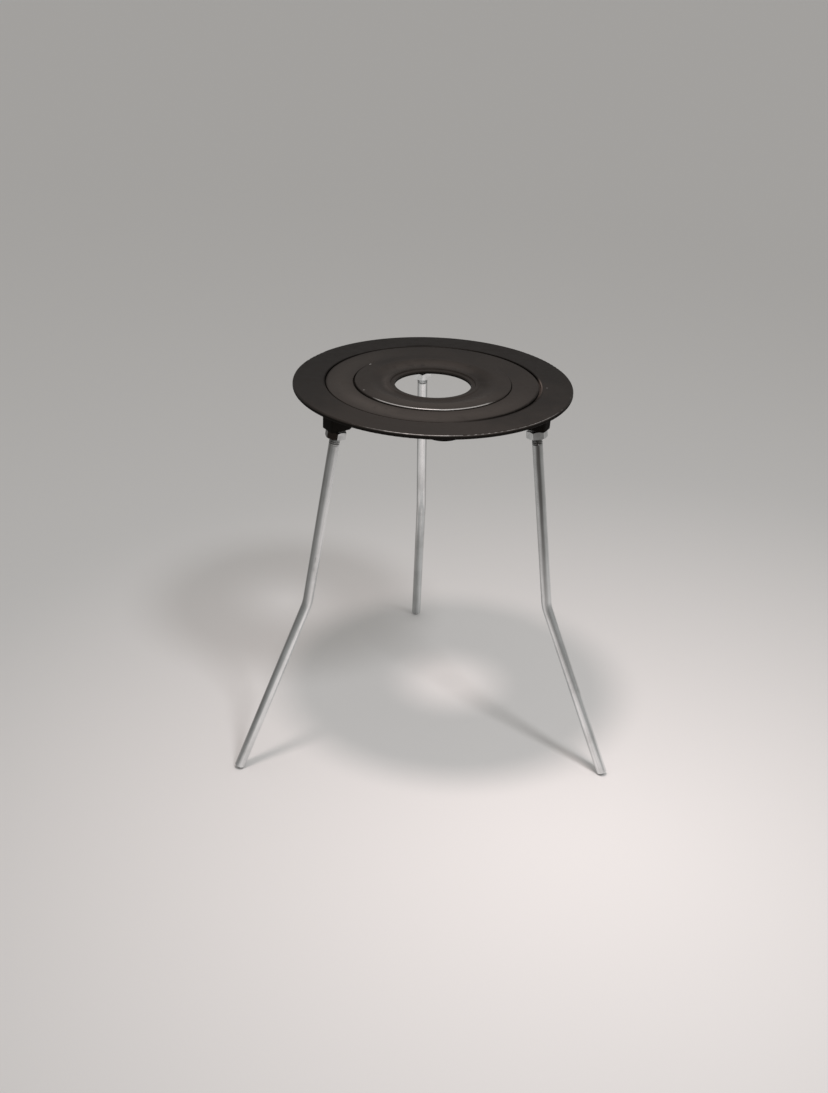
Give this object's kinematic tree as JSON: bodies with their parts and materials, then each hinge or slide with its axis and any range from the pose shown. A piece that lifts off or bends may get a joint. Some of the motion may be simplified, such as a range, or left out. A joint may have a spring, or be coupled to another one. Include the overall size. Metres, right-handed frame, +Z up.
{
  "type": "laboratory tripod stand",
  "caption": "Bench tripod with nested cast rings round a central opening, on splayed bent rod legs, for holding a vessel over a burner.",
  "frame": {"origin": "on the bench, on the common axis of the rings", "axes": "+Z up along the rings' axis, +Y towards the rear leg, +X to the right"},
  "size_m": [0.2123, 0.2, 0.2146],
  "materials": {
    "cast_black": "as cast, black coated, satin, a little worn on the edges",
    "zinc": "dull zinc plating"
  },
  "bodies": {
    "root": {"outer_ring": "cast_black", "middle_ring": "cast_black", "inner_ring": "cast_black", "rear_leg": "zinc", "left_leg": "zinc", "right_leg": "zinc", "rear_lock_nut": "zinc", "left_lock_nut": "zinc", "right_lock_nut": "zinc"}
  },
  "joints": []
}
